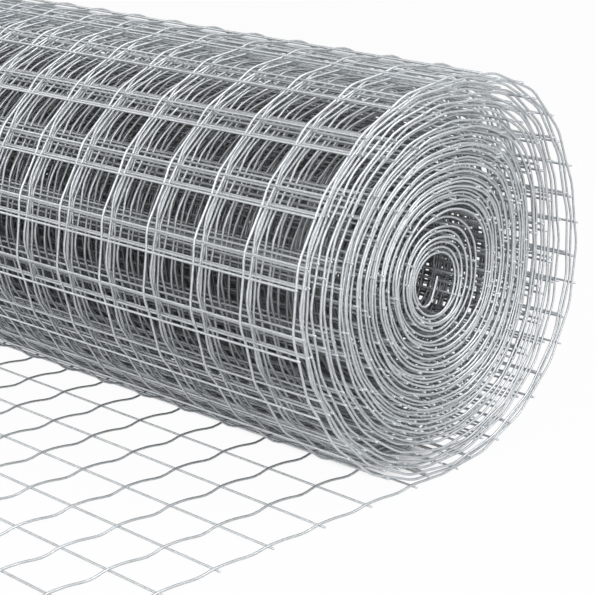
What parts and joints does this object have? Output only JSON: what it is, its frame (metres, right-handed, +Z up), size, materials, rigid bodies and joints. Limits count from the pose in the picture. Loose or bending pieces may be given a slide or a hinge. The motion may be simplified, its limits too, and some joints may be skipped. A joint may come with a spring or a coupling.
{
  "type": "roll of welded wire mesh fencing",
  "caption": "Roll of galvanised welded square-mesh fencing lying on its side, with an open bore, its turns showing on both ends and its loose end unrolled flat along the floor.",
  "frame": {"origin": "on the floor, at the middle of the ground that the roll and its loose end cover", "axes": "+X along the roll's axis and bore, towards one end of the roll; -Y the way the loose end is unrolled; +Z up"},
  "size_m": [0.908, 0.628, 0.307],
  "materials": {
    "galvanised_wire": "zinc-galvanised drawn steel wire, satin, with soft bright streaks along the wire"
  },
  "bodies": {
    "root": {"mesh_roll": "galvanised_wire", "loose_end": "galvanised_wire"}
  },
  "joints": []
}
